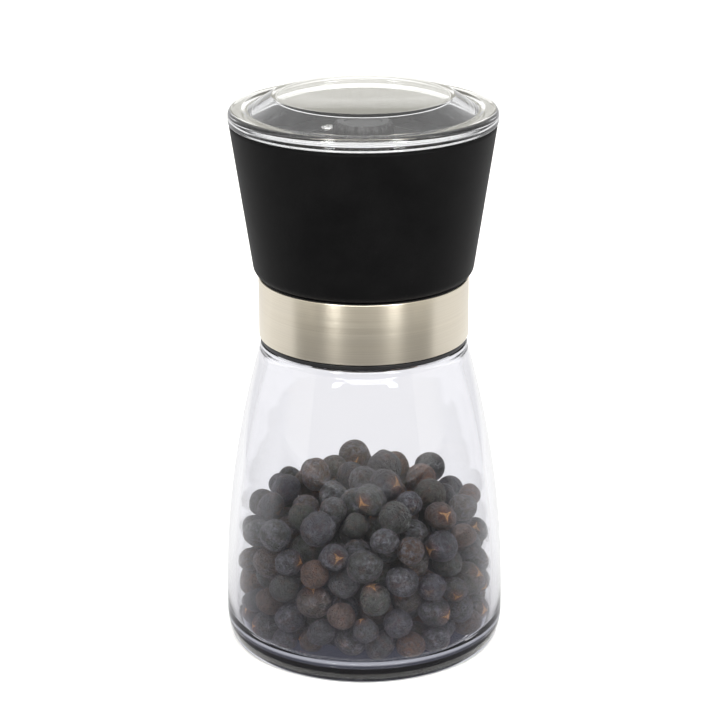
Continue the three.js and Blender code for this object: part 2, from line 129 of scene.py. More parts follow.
def addPiece(name, mesh, material, body, slot, *nodes, creaseAngle=35):
    mesh.shade_smooth()
    mesh.set_sharp_from_angle(angle=math.radians(creaseAngle))
    piece = bpy.data.objects.new(name, mesh)
    bpy.context.scene.collection.objects.link(piece)
    mesh.materials.append(material)
    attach(piece, body)
    if nodes:
        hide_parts(*nodes)
    return piece


def revolve(name, outline, turnSteps=160, relief=None, closed=True):
    # outline turned about Z: (radius + relief) x (cos angle, sin angle), height
    turning = np.roll(outline, -1, axis=0)
    area = np.sum(outline[:, 0] * turning[:, 1] - turning[:, 0] * outline[:, 1])
    if area < 0:
        outline = outline[::-1]
    angle = np.linspace(0, tau, turnSteps, endpoint=False)[None, :]
    radius = np.repeat(outline[:, :1], turnSteps, 1)
    height = np.repeat(outline[:, 1:], turnSteps, 1)
    if relief is not None:
        radius = radius + relief(radius, height, angle)
    grid = np.stack([radius * np.cos(angle), radius * np.sin(angle), height], -1)
    return meshFromGrid(name, grid, wrapRows=closed)


def helixRidge(start, pitch, turns, depth, crest, root, wallRadius, facing):
    # radial height of a thread ridge: a trapezoid across, following height = start + pitch * angle / turn,
    # and running out over an eighth of its length at both ends
    def relief(radius, height, angle):
        onWall = np.abs(radius - wallRadius) < 0.05
        best = np.zeros(np.broadcast(radius, angle).shape)
        for lap in range(math.ceil(turns) + 1):
            along = (angle + lap * tau) / (turns * tau)
            fade = np.clip(np.minimum(along, 1 - along) * 8, 0, 1)
            centre = start + pitch * turns * along
            reach = (root / 2 - np.abs(height - centre)) / ((root - crest) / 2)
            best = np.maximum(best, depth * fade * np.clip(reach, 0, 1))
        return np.where(onWall, facing * best, 0)
    return relief


def newMaterial(name, **sockets):
    material = bpy.data.materials.new(name)
    material.use_nodes = True
    shader = material.node_tree.nodes["Principled BSDF"]
    for socket, value in sockets.items():
        shader.inputs[socket.replace("_", " ")].default_value = value
    return material, material.node_tree, shader


def node(tree, kind, inputs=None, **settings):
    made = tree.nodes.new(kind)
    for key, value in settings.items():
        setattr(made, key, value)
    for key, value in (inputs or {}).items():
        if isinstance(value, bpy.types.NodeSocket):
            tree.links.new(value, made.inputs[key])
        else:
            made.inputs[key].default_value = value
    return made


def objectPlace(tree, stretch=(1, 1, 1)):
    place = node(tree, "ShaderNodeTexCoord").outputs["Object"]
    return node(tree, "ShaderNodeMapping", {"Vector": place, "Scale": stretch}).outputs["Vector"]


def noise(tree, vector, scale, detail=3.0, roughness=0.5, distortion=0.0):
    made = node(tree, "ShaderNodeTexNoise", {"Vector": vector, "Scale": scale, "Detail": detail,
                                             "Roughness": roughness, "Distortion": distortion})
    return made.outputs["Fac"]


def grey(value):
    return (value, value, value)


def ramp(tree, factor, *stops):
    made = node(tree, "ShaderNodeValToRGB", {"Fac": factor})
    elements = made.color_ramp.elements
    while len(elements) < len(stops):
        elements.new(0.5)
    for element, (position, colour) in zip(elements, stops):
        element.position = position
        element.color = (*colour, 1)
    return made.outputs["Color"]


def mathNode(tree, operation, a, b=0.0, clamp=False):
    return node(tree, "ShaderNodeMath", {0: a, 1: b}, operation=operation, use_clamp=clamp).outputs[0]


def mixColour(tree, factor, a, b):
    made = node(tree, "ShaderNodeMix", data_type="RGBA")
    for index, value in ((0, factor), (6, a), (7, b)):
        if isinstance(value, bpy.types.NodeSocket):
            tree.links.new(value, made.inputs[index])
        else:
            made.inputs[index].default_value = value if index == 0 else (*value, 1)
    return made.outputs[2]


def bump(tree, shader, height, strength, distance):
    made = node(tree, "ShaderNodeBump", {"Height": height, "Strength": strength, "Distance": distance * mm})
    tree.links.new(made.outputs["Normal"], shader.inputs["Normal"])


def clearMaterial(name, colour, ior, roughness, wave):
    # clear solid with the faint waviness of moulding
    material, tree, shader = newMaterial(
        name, Base_Color=(*colour, 1), Transmission_Weight=1.0, IOR=ior, Roughness=roughness)
    bump(tree, shader, noise(tree, objectPlace(tree, (1, 1, 0.5)), wave["scale"], 1.5), wave["strength"],
         wave["height"])
    return material


def softTouchBlack():
    # rubbery coating: very dark, a fine grain, faint cloudy wear
    material, tree, shader = newMaterial("soft_touch_black", Sheen_Weight=0.05, Sheen_Roughness=0.4,
                                         Specular_IOR_Level=0.05)
    place = objectPlace(tree)
    clouds = noise(tree, place, 90.0, 4.0, 0.6)
    tree.links.new(ramp(tree, clouds, (0.3, (0.0018, 0.0018, 0.002)), (0.75, (0.0034, 0.0034, 0.0036))),
                   shader.inputs["Base Color"])
    tree.links.new(ramp(tree, clouds, (0.3, grey(0.56)), (0.8, grey(0.68))), shader.inputs["Roughness"])
    grain = noise(tree, place, 2600.0, 2.0, 0.6)
    bump(tree, shader, grain, 0.55, 0.05)
    return material


def blackPlastic():
    # moulded plastic: satin, with a fine spark-eroded texture
    material, tree, shader = newMaterial("black_plastic", Specular_IOR_Level=0.4)
    place = objectPlace(tree)
    clouds = noise(tree, place, 140.0, 3.0)
    tree.links.new(ramp(tree, clouds, (0.3, (0.008, 0.008, 0.009)), (0.7, (0.014, 0.014, 0.015))),
                   shader.inputs["Base Color"])
    tree.links.new(ramp(tree, clouds, (0.2, grey(0.34)), (0.8, grey(0.5))), shader.inputs["Roughness"])
    bump(tree, shader, noise(tree, place, 3500.0, 1.0), 0.3, 0.02)
    return material


def brushedSteel():
    # stainless sheet brushed round the mill: fine lines that run level, and a little colour drift
    material, tree, shader = newMaterial("brushed_steel", Metallic=1.0, Anisotropic=0.8,
                                         Anisotropic_Rotation=0.25)
    lines = noise(tree, objectPlace(tree, (14, 14, 9000)), 1.0, 4.0, 0.65)
    drift = noise(tree, objectPlace(tree, (1, 1, 6)), 60.0, 2.0)
    base = ramp(tree, lines, (0.25, (0.70, 0.63, 0.50)), (0.75, (0.88, 0.81, 0.67)))
    tree.links.new(mixColour(tree, mathNode(tree, "MULTIPLY", drift, 0.6), base, (0.80, 0.75, 0.64)),
                   shader.inputs["Base Color"])
    tree.links.new(ramp(tree, lines, (0.2, grey(0.26)), (0.8, grey(0.38))), shader.inputs["Roughness"])
    tangent = node(tree, "ShaderNodeTangent", direction_type="RADIAL", axis="Z").outputs[0]
    tree.links.new(tangent, shader.inputs["Tangent"])
    bump(tree, shader, lines, 0.25, 0.01)
    return material


def brightSteel():
    # plain bright steel of screws, spring and washers
    material, tree, shader = newMaterial("bright_steel", Metallic=1.0)
    place = objectPlace(tree)
    marks = noise(tree, place, 900.0, 4.0, 0.6)
    tree.links.new(ramp(tree, marks, (0.3, grey(0.46)), (0.7, (0.66, 0.655, 0.64))),
                   shader.inputs["Base Color"])
    tree.links.new(ramp(tree, marks, (0.3, grey(0.2)), (0.7, grey(0.36))), shader.inputs["Roughness"])
    bump(tree, shader, marks, 0.12, 0.02)
    return material


def firedCeramic():
    # unglazed ceramic: warm white with fine specks and a sandy bite
    material, tree, shader = newMaterial("fired_ceramic", Specular_IOR_Level=0.45)
    place = objectPlace(tree)
    specks = noise(tree, place, 1500.0, 2.0, 0.7)
    base = ramp(tree, specks, (0.32, (0.52, 0.48, 0.42)), (0.45, (0.80, 0.77, 0.70)))
    stain = noise(tree, place, 120.0, 3.0)
    tree.links.new(mixColour(tree, mathNode(tree, "MULTIPLY", stain, 0.5), base, (0.62, 0.55, 0.45)),
                   shader.inputs["Base Color"])
    tree.links.new(ramp(tree, stain, (0.2, grey(0.42)), (0.8, grey(0.62))), shader.inputs["Roughness"])
    bump(tree, shader, specks, 0.3, 0.04)
    return material


def softPlastic(name, dark, light, roughness, scatter=0.0):
    # silicone or nylon: pale, cloudy, a little light inside
    material, tree, shader = newMaterial(name, Roughness=roughness, Subsurface_Weight=scatter,
                                         Subsurface_Radius=(0.002, 0.002, 0.0018))
    place = objectPlace(tree)
    clouds = noise(tree, place, 200.0, 3.0)
    tree.links.new(ramp(tree, clouds, (0.3, dark), (0.7, light)), shader.inputs["Base Color"])
    bump(tree, shader, noise(tree, place, 2500.0), 0.15, 0.03)
    return material


def driedBerry():
    # each berry carries its own traits, and its own place on a unit ball: skin between slate, green and
    # brown, a waxy bloom in patches, narrow wrinkles, and a three-rayed scar at its tip
    material, tree, shader = newMaterial("dried_berry", Specular_IOR_Level=0.45, Sheen_Weight=0.1)

    def calc(operation, a, b=0.0, clamp=False):
        return mathNode(tree, operation, a, b, clamp)

    def carried(name):
        return node(tree, "ShaderNodeAttribute", attribute_name=name).outputs["Vector"]

    own = node(tree, "ShaderNodeVectorMath", {0: carried("berryPlace")}, operation="NORMALIZE").outputs[0]
    traits = node(tree, "ShaderNodeSeparateXYZ", {"Vector": carried("berryTraits")})
    tint, scarStrength, bloomShare = (traits.outputs[k] for k in "XYZ")
    offset = node(tree, "ShaderNodeCombineXYZ", {"X": calc("MULTIPLY", tint, 37.0),
                                                 "Y": calc("MULTIPLY", scarStrength, 19.0)}).outputs[0]
    spot = node(tree, "ShaderNodeVectorMath", {0: own, 1: offset}, operation="ADD").outputs[0]

    skin = ramp(tree, tint, (0.0, (0.060, 0.057, 0.080)), (0.35, (0.085, 0.085, 0.092)),
                (0.6, (0.085, 0.096, 0.073)), (0.8, (0.132, 0.092, 0.073)), (1.0, (0.220, 0.109, 0.066)))
    mottle = ramp(tree, noise(tree, spot, 1.5, 4.0, 0.6), (0.50, grey(0)), (0.78, grey(0.7)))
    skin = mixColour(tree, mottle, skin, (0.18, 0.085, 0.060))
    cloud = noise(tree, spot, 2.6, 6.0, 0.7, 0.4)
    bloom = calc("MULTIPLY", ramp(tree, cloud, (0.42, grey(0)), (0.62, grey(1))), bloomShare)
    skin = mixColour(tree, bloom, skin, (0.27, 0.275, 0.31))

    # the scar: three rays, whose half width is 0.17 at the tip and runs out at half a radius, with frayed
    # edges; beside is the distance from the nearest ray's middle line
    parts = node(tree, "ShaderNodeSeparateXYZ", {"Vector": own})
    x, y, z = (parts.outputs[k] for k in "XYZ")
    bearing = calc("ARCTAN2", y, x)
    fromTip = calc("SQRT", calc("SUBTRACT", 1.0, calc("MULTIPLY", z, z), clamp=True))
    beside = calc("MULTIPLY", fromTip, calc("ABSOLUTE", calc("SINE", calc("MULTIPLY", bearing, 1.5))))
    halfWidth = calc("SUBTRACT", 0.17, calc("MULTIPLY", fromTip, 0.33))
    frayed = calc("MULTIPLY", calc("SUBTRACT", noise(tree, spot, 5.0, 3.0), 0.5), 0.12)
    inside = calc("ADD", calc("SUBTRACT", halfWidth, calc("MULTIPLY", beside, 0.67)), frayed)
    upper = calc("GREATER_THAN", z, 0.0)
    scar = calc("MULTIPLY", calc("MULTIPLY", inside, 22.0, clamp=True), scarStrength)
    scar = calc("MULTIPLY", scar, upper)
    halo = calc("MULTIPLY", calc("SUBTRACT", 0.75, fromTip, clamp=True), 1.3)
    halo = calc("MULTIPLY", calc("MULTIPLY", halo, scarStrength), upper)
    skin = mixColour(tree, halo, skin, (0.24, 0.085, 0.045))
    patchy = ramp(tree, noise(tree, spot, 9.0, 3.0), (0.3, grey(0.6)), (0.6, grey(1)))
    skin = mixColour(tree, calc("MULTIPLY", scar, patchy), skin, (0.90, 0.48, 0.20))

    # wrinkles: narrow valleys where a slow noise crosses its middle value, darker at the bottom with painted
    # shade
    fold = calc("ABSOLUTE", calc("SUBTRACT", noise(tree, spot, 1.9, 3.0, 0.6, 1.4), 0.5))
    valley = ramp(tree, fold, (0.0, grey(0)), (0.07, grey(1)))
    # painted shade: the skin is mixed halfway to near black at the valleys' bottoms
    shade = calc("MULTIPLY", calc("SUBTRACT", 1.0, valley), 0.5)
    tree.links.new(mixColour(tree, shade, skin, (0.012, 0.011, 0.012)), shader.inputs["Base Color"])
    tree.links.new(ramp(tree, cloud, (0.3, grey(0.32)), (0.7, grey(0.60))), shader.inputs["Roughness"])
    creases = calc("ADD", calc("MULTIPLY", valley, 0.4),
                   calc("MULTIPLY", noise(tree, spot, 4.5, 5.0, 0.65, 0.5), 0.9))
    bump(tree, shader, calc("SUBTRACT", creases, calc("MULTIPLY", scar, 0.4)), 1.0, 1.9)
    return material


def paleFloor():
    material, tree, shader = newMaterial("pale_floor", Roughness=0.8, Specular_IOR_Level=0.1)
    tone = noise(tree, objectPlace(tree), 3.0, 2.0)
    tree.links.new(ramp(tree, tone, (0.0, grey(0.90)), (1.0, grey(0.93))), shader.inputs["Base Color"])
    return material


glassWave = {"scale": 60.0, "strength": 0.08, "height": 0.12}
capWave = {"scale": 110.0, "strength": 0.05, "height": 0.08}
jarGlass = clearMaterial("jar_glass", (0.962, 0.962, 0.985), 1.5, 0.0, glassWave)
clearCap = clearMaterial("clear_cap", (0.985, 0.99, 0.995), 1.49, 0.015, capWave)
softBlack = softTouchBlack()
plainBlack = blackPlastic()
bandSteel = brushedSteel()
screwSteel = brightSteel()
ceramic = firedCeramic()
silicone = softPlastic("silicone", (0.62, 0.62, 0.6), (0.72, 0.72, 0.7), 0.45, 0.3)
nylon = softPlastic("natural_nylon", (0.66, 0.64, 0.6), (0.78, 0.77, 0.74), 0.4, 0.2)
berrySkin = driedBerry()
print("materials made")

# the glass jar, with its pushed-up base and the thread round its neck
jar = {
    "wall": 2.3, "bellyHeight": 10, "heelHeight": 6.3, "heelWidth": 2.2, "baseRing": 3.6, "pushUp": 0.8,
    "floor": 1.7, "crown": 0.3, "innerHeel": 4.8, "neckHeight": 12.2, "neckRadius": 21.4, "neckWall": 2.6,
    "ledge": 3.4, "lipRound": 1.2,
}
thread = {"pitch": 4, "depth": 1.1, "crest": 1.0, "root": 1.8, "turns": 1.25, "start": 4.2}
jarRadius, jarBottom, jarTop = nodeSpan("glass_jar")
shoulder = jarTop - jar["neckHeight"]
shoulderRadius = jar["neckRadius"] + jar["ledge"]
jarFloor = jar["pushUp"] + jar["floor"]
boreRadius = jar["neckRadius"] - jar["neckWall"]


def jarSide(inset, endRadius, endHeight, count):
    # upright at the belly, leaning in as it rises to the shoulder
    belly = jarRadius - inset
    middle = (jar["bellyHeight"] + endHeight) / 2
    return bezier((belly, jar["bellyHeight"]), (belly, middle), (endRadius, endHeight), count)


def insideSide(count):
    # the same curve one wall further in
    return jarSide(jar["wall"], shoulderRadius - jar["wall"], shoulder - 3, count)


def jarOutline():
    # half section from the middle of the base, round the foot, up the outside and down the inside
    ringEdge = jarRadius - jar["heelWidth"]
    ringInner = ringEdge - jar["baseRing"]
    quarter = np.linspace(-math.pi / 2, 0, 14)[:, None]
    heel = np.hstack([ringEdge + jar["heelWidth"] * np.cos(quarter),
                      jar["heelHeight"] * (1 + np.sin(quarter))])
    under = rounded([[0, jar["pushUp"] + jar["crown"]], [12, jar["pushUp"] + 0.25, 8],
                     [ringInner - 1.2, jar["pushUp"], 0.8], [ringInner, 0, 0.6], [ringEdge, 0]], 6)
    outside = jarSide(0, shoulderRadius, shoulder - 1, 48)
    neckTop = rounded([[shoulderRadius, shoulder - 1], [shoulderRadius - 0.1, shoulder, 0.6],
                       [jar["neckRadius"], shoulder, 0.5], [jar["neckRadius"], jarTop, jar["lipRound"]],
                       [boreRadius, jarTop, jar["lipRound"]], [boreRadius, shoulder + 1, 2.5],
                       [shoulderRadius - jar["wall"], shoulder - 3]], 7)[1:-1]
    bottom = rounded([[jarRadius - jar["wall"], jar["bellyHeight"]],
                      [jarRadius - jar["wall"], jarFloor, jar["innerHeel"]], [14, jarFloor + 0.05, 6],
                      [0, jarFloor + jar["crown"]]], 9)[1:]
    return np.vstack([under[:-1], heel, outside, finer(neckTop, 0.35), insideSide(40)[::-1], bottom])


jarRidge = helixRidge(shoulder + thread["start"], thread["pitch"], thread["turns"], thread["depth"],
                      thread["crest"], thread["root"], jar["neckRadius"], 1)
addPiece("jar_of_glass", revolve("jar_of_glass", jarOutline(), 256, jarRidge, closed=False), jarGlass,
         "jar", "jar_glass", "glass_jar", creaseAngle=60)
print("glass jar made")

# the dried berries, settled in the jar
berries = {
    "count": 282, "smallest": 3.1, "largest": 4.4, "clearance": 0.22, "wallHeight": 36.5, "peak": 57.5,
    "peakShift": 6.5, "nearReach": 32, "farReach": 36, "startReach": 27, "sink": 0.05, "push": 0.42,
    "settling": 300, "seed": 11, "faceSteps": 3, "dent": 0.22, "ripple": 0.028, "tipCut": 0.07,
    "scarred": 0.6,
    "swell": 1.066,  # makes up for what the subdivision smooths away
}


def cubeSphere(steps):
    # a cube's faces cut into steps x steps squares and blown up to a unit ball
    across = np.tan(np.linspace(-math.pi / 4, math.pi / 4, steps + 1))
    u, v = np.meshgrid(across, across, indexing="ij")
    one = np.ones_like(u)
    sides = [np.stack(s, -1) for s in ((one, u, v), (-one, v, u), (v, one, u), (u, -one, v), (u, v, one),
                                       (v, u, -one))]
    points = np.concatenate([s.reshape(-1, 3) for s in sides])
    points = points / np.linalg.norm(points, axis=1, keepdims=True)
    i, j = np.meshgrid(np.arange(steps), np.arange(steps), indexing="ij")
    corner = (i * (steps + 1) + j).reshape(-1)
    quad = np.stack([corner, corner + steps + 1, corner + steps + 2, corner + 1], -1)
    quads = np.concatenate([quad + k * (steps + 1) ** 2 for k in range(6)])
    _, first, merged = np.unique(np.round(points, 6), axis=0, return_index=True, return_inverse=True)
    return points[first], merged.reshape(-1)[quads]


def settleBerries():
    # balls start at random inside the heap and push each other apart, kept inside the glass, above the
    # floor and under a mound that falls from its peak towards the wall
    rng = np.random.default_rng(berries["seed"])
    count = berries["count"]
    radius = rng.uniform(berries["smallest"], berries["largest"], count)
    side = insideSide(60)

    def wallAt(height):
        straight = np.interp(height, side[:, 1], side[:, 0])
        low = np.clip((jarFloor + jar["innerHeel"] - height) / jar["innerHeel"], 0, 1)
        return straight - jar["innerHeel"] * (1 - np.sqrt(1 - low ** 2))

    def moundAt(x, y):
        # height falls from the peak to the wall's with cos(90 degrees x distance / reach) ^ 1.1
        reach = np.where(x > berries["peakShift"], berries["nearReach"], berries["farReach"])
        away = np.hypot(x - berries["peakShift"], y) / reach
        return berries["wallHeight"] + (berries["peak"] - berries["wallHeight"]) * np.cos(
            np.clip(away, 0, 1) * math.pi / 2) ** 1.1

    angle = rng.uniform(0, tau, count)
    out = berries["startReach"] * np.sqrt(rng.uniform(0, 1, count))
    spot = np.stack([out * np.cos(angle), out * np.sin(angle), np.zeros(count)], -1)
    room = moundAt(*spot[:, :2].T) - jarFloor - 2 * radius
    spot[:, 2] = jarFloor + radius + rng.uniform(0, 1, count) * room
    for step in range(berries["settling"]):
        spot[:, 2] -= berries["sink"]
        gap = spot[:, None] - spot[None]
        distance = np.linalg.norm(gap, axis=-1) + np.eye(count) * 99
        overlap = np.clip(radius[:, None] + radius[None] - distance, 0, None)
        spot += np.sum(gap / distance[..., None] * overlap[..., None] * berries["push"], axis=1)
        spot[:, 2] = np.minimum(spot[:, 2], moundAt(*spot[:, :2].T) - radius)
        spot[:, 2] = np.maximum(spot[:, 2], jarFloor + 0.5 + radius + berries["clearance"])
        away = np.hypot(spot[:, 0], spot[:, 1]) + 1e-6
        most = wallAt(spot[:, 2] - 0.3 * radius) - radius - berries["clearance"]
        spot[:, :2] *= np.minimum(1, most / away)[:, None]
    return spot, radius, rng


def berryMesh():
    # every berry is a ball whose radius is cut by up to three dents and a flat tip and rippled by sine
    # waves across them, then turned by a random quaternion; its points keep their place on the ball
    spot, radius, rng = settleBerries()
    count = len(radius)
    ball, quads = cubeSphere(berries["faceSteps"])
    turn = rng.normal(size=(count, 4))
    turn /= np.linalg.norm(turn, axis=1, keepdims=True)
    w, x, y, z = turn.T
    matrix = np.stack([
        np.stack([1 - 2 * (y * y + z * z), 2 * (x * y - z * w), 2 * (x * z + y * w)], -1),
        np.stack([2 * (x * y + z * w), 1 - 2 * (x * x + z * z), 2 * (y * z - x * w)], -1),
        np.stack([2 * (x * z - y * w), 2 * (y * z + x * w), 1 - 2 * (x * x + y * y)], -1)], 1)
    dents = rng.normal(size=(count, 3, 3))
    dents /= np.linalg.norm(dents, axis=-1, keepdims=True)
    depth = rng.uniform(0.0, berries["dent"], (count, 3))
    facing = np.einsum("vk,cdk->cvd", ball, dents)
    dented = 1 - np.sum(depth[:, None, :] * np.clip((facing - 0.35) / 0.65, 0, 1) ** 2, -1)
    ripple = np.sin(facing * rng.uniform(4, 9, (count, 1, 3)) + rng.uniform(0, 6, (count, 1, 3)))
    dented = dented * (1 + berries["ripple"] * np.sum(ripple, -1))
    tip = np.clip((ball[:, 2] - 0.86) / 0.14, 0, 1) ** 2
    shape = ball[None] * (dented * (1 - berries["tipCut"] * tip[None]))[..., None]
    shape = shape * rng.uniform(0.92, 1.06, (count, 1, 3))
    size = (radius * berries["swell"])[:, None, None]
    shape = np.einsum("cij,cvj->cvi", matrix, shape) * size + spot[:, None]
    mesh = bpy.data.meshes.new("dried_berries")
    vertices = shape.reshape(-1, 3) * mm
    faces = (quads[None] + (np.arange(count) * len(ball))[:, None, None]).reshape(-1, 4)
    mesh.vertices.add(len(vertices))
    mesh.vertices.foreach_set("co", vertices.astype(np.float32).reshape(-1))
    mesh.loops.add(faces.size)
    mesh.loops.foreach_set("vertex_index", faces.astype(np.int32).reshape(-1))
    mesh.polygons.add(len(faces))
    mesh.polygons.foreach_set("loop_start", np.arange(0, faces.size, 4, dtype=np.int32))
    mesh.update(calc_edges=True)
    own = mesh.attributes.new("berryPlace", "FLOAT_VECTOR", "POINT")
    own.data.foreach_set("vector", np.tile(ball, (count, 1)).astype(np.float32).reshape(-1))
    scars = np.where(rng.uniform(size=count) < berries["scarred"], rng.uniform(0.75, 1, count),
                     rng.uniform(0, 0.15, count))
    traits = np.stack([rng.uniform(size=count), scars, rng.uniform(0.1, 0.9, count)], -1)
    kept = mesh.attributes.new("berryTraits", "FLOAT_VECTOR", "POINT")
    kept.data.foreach_set("vector", np.repeat(traits, len(ball), 0).astype(np.float32).reshape(-1))
    return mesh


berryHeap = addPiece("dried_berries", berryMesh(), berrySkin, "jar", "berries", "peppercorns",
                     creaseAngle=180)
softened = berryHeap.modifiers.new("rounded", "SUBSURF")
softened.levels = softened.render_levels = 1
print("berries settled")

# the sealing washer, the threaded collar and the steel band round it
washerRadius, washerBottom, washerTop = nodeSpan("sealing_washer")
washerInner = boreRadius - 0.6
washerOutline = rounded([[washerInner, washerBottom, 0.3], [washerRadius, washerBottom, 0.3],
                         [washerRadius, washerTop, 0.3], [washerInner, washerTop, 0.3]])
addPiece("silicone_washer", revolve("silicone_washer", washerOutline), silicone, "washer", "silicone",
         "sealing_washer")

collar = {"wall": 1.3, "plate": 2.2, "rimHeight": 1.1, "rimWidth": 0.4, "feed": 12.6}
rimRadius, collarBottom, collarTop = nodeSpan("neck_collar")
collarOuter = rimRadius - collar["rimWidth"]
collarInner = collarOuter - collar["wall"]
collarOutline = finer(rounded([
    [collarInner, collarBottom, 0.3], [rimRadius, collarBottom, 0.35],
    [rimRadius, collarBottom + collar["rimHeight"], 0.15], [collarOuter, collarBottom + collar["rimHeight"]],
    [collarOuter, collarTop, 0.2], [collar["feed"], collarTop, 0.2],
    [collar["feed"], collarTop - collar["plate"], 0.2], [collarInner, collarTop - collar["plate"], 0.4],
    [collarInner, collarBottom + 0.3]]), 0.4)
collarRidge = helixRidge(shoulder + thread["start"] - thread["pitch"] / 2, thread["pitch"], thread["turns"],
                         thread["depth"], thread["crest"], thread["root"], collarInner, -1)
addPiece("threaded_collar", revolve("threaded_collar", collarOutline, 192, collarRidge), plainBlack,
         "collar", "black_plastic", "neck_collar")

bandRadius, bandBottom, bandTop = nodeSpan("steel_band")
band = {"sheet": 0.55, "edge": 0.26}
bandInner = bandRadius - band["sheet"]
bandOutline = rounded([[bandInner, bandBottom, band["edge"]], [bandRadius, bandBottom, band["edge"]],
                       [bandRadius, bandTop, band["edge"]], [bandInner, bandTop, band["edge"]]])
addPiece("brushed_band", revolve("brushed_band", bandOutline, 256), bandSteel, "collar", "brushed_steel",
         "steel_band")
print("collar and band made")

# the turning head: its soft black shell, and the insert that carries the outer burr
headRadius, headBottom, headTop = nodeSpan("head_shell")
head = {"overhang": 0.85, "wall": 2.2, "rimWall": 3.0, "corner": 2.6, "footRim": 1.2, "footHeight": 2.4,
        "dish": 8.4, "ledge": 1.5, "ledgeHeight": 1.7, "plate": 1.9}
headFoot = bandRadius + head["overhang"]
dishRadius = headRadius - head["rimWall"]
dishFloor = headTop - head["dish"]
ledgeTop = dishFloor - head["plate"] - seatGap


def headSide(height):
    # the head's outer radius grows evenly from foot to top
    return headFoot + (headRadius - headFoot) * (height - headBottom) / (headTop - headBottom)


footRadius = headFoot - head["corner"] - head["footRim"]
footTop = headBottom + head["footHeight"]
ledgeRadius = dishRadius - seatGap - head["ledge"]
ledgeFoot = ledgeTop - head["ledgeHeight"]
shellOutline = rounded([
    [headSide(footTop) - head["wall"], footTop], [footRadius, footTop, 0.3], [footRadius, headBottom, 0.5],
    [headFoot, headBottom, head["corner"]], [headRadius, headTop, 0.7], [dishRadius, headTop, 0.5],
    [dishRadius, ledgeTop], [ledgeRadius, ledgeTop, 0.2], [ledgeRadius, ledgeFoot],
    [headSide(ledgeFoot - 2) - head["wall"], ledgeFoot - 2]], 8)
addPiece("soft_black_shell", revolve("soft_black_shell", shellOutline, 256), softBlack, "head",
         "soft_touch_black", "head_shell")

insertRadius, insertBottom, insertTop = nodeSpan("head_insert")
burrRadius, burrBottom, burrTop = nodeSpan("outer_burr")
insert = {"tower": 14.8, "flange": 1.7, "tube": 17.7, "outer": 19.7, "pocket": 15.5, "shelf": 13.9}
insertOutline = rounded([
    [insert["tower"], insertBottom, 0.2], [insert["outer"], insertBottom, 0.3],
    [insert["outer"], insertTop - head["plate"] - 2], [insert["outer"] + 2, insertTop - head["plate"]],
    [insertRadius, insertTop - head["plate"]], [insertRadius, insertTop, 0.3],
    [insert["outer"], insertTop, 0.3], [insert["outer"], burrTop], [insert["pocket"], burrTop, 0.2],
    [insert["pocket"], burrBottom - seatGap], [insert["shelf"], burrBottom - seatGap, 0.2],
    [insert["shelf"], burrBottom - 1.9], [insert["tube"], burrBottom - 3.5],
    [insert["tube"], insertBottom + insert["flange"]],
    [insert["tower"], insertBottom + insert["flange"], 0.2]])
addPiece("black_insert", revolve("black_insert", insertOutline, 192), plainBlack, "head", "black_plastic",
         "head_insert")
print("head made")


def toothed(name, corners, teeth, perTooth, shape):
    # closed outline of [radius, height, tooth depth, run] turned about Z: the radius drops by the depth
    # times the tooth's saw shape, and the whole ring is turned by its run
    table = np.array(corners, float)
    turning = np.roll(table, -1, axis=0)
    if np.sum(table[:, 0] * turning[:, 1] - turning[:, 0] * table[:, 1]) < 0:
        table = table[::-1]
    phase = np.arange(teeth * perTooth) / perTooth % 1
    angle = np.arange(teeth * perTooth)[None, :] / (teeth * perTooth) * tau + table[:, 3:4]
    radius = table[:, :1] - table[:, 2:3] * shape(phase)[None, :]
    grid = np.stack([radius * np.cos(angle), radius * np.sin(angle),
                     np.repeat(table[:, 1:2], teeth * perTooth, 1)], -1)
    return meshFromGrid(name, grid, wrapRows=True)


def between(a, b, count):
    # rows of [radius, height, depth, run] from a to b, without b
    return (np.array(a, float) + (np.array(b, float) - np.array(a, float))
            * np.linspace(0, 1, count, endpoint=False)[:, None]).tolist()


def sawTooth(phase):
    # rises over the first third of a tooth and falls over the rest
    return np.where(phase < 0.34, phase / 0.34, 1 - (phase - 0.34) / 0.66)


def scallop(phase):
    # one cosine wave for each grip
    return 0.5 - 0.5 * np.cos(phase * tau)


# the grinder: both burrs, their retaining ring, the knob and the screws
coneRadius, coneBottom, coneTop = nodeSpan("inner_burr")
cone = {"radius": 11.7, "tip": 6.4, "rim": 1.8, "bore": 2.85, "throat": 12.3, "flare": 1.1,
        "flareHeight": 4.9, "teeth": 24}
middle = (coneBottom + coneTop - cone["rim"]) / 2
innerTeeth = (
    [[cone["bore"], coneBottom, 0, 0]]
    + between([cone["tip"], coneBottom, 1.0, 0], [(cone["tip"] + cone["radius"]) / 2, middle, 0.9, 0.2], 5)
    + between([(cone["tip"] + cone["radius"]) / 2, middle, 0.9, 0.2],
              [cone["radius"], coneTop - cone["rim"], 0.6, 0.4], 5)
    + [[cone["radius"], coneTop - cone["rim"], 0.6, 0.4], [cone["radius"], coneTop - 0.5, 0.6, 0.45],
       [cone["radius"] - 1, coneTop, 0.2, 0.45], [cone["bore"] + 3.4, coneTop, 0, 0.45],
       [cone["bore"] + 3.2, coneTop - 0.3, 0, 0.45], [cone["bore"], coneTop - 0.3, 0, 0]])
addPiece("grinding_cone", toothed("grinding_cone", innerTeeth, cone["teeth"], 8, sawTooth), ceramic, "burr",
         "burr_ceramic", "inner_burr", creaseAngle=25)

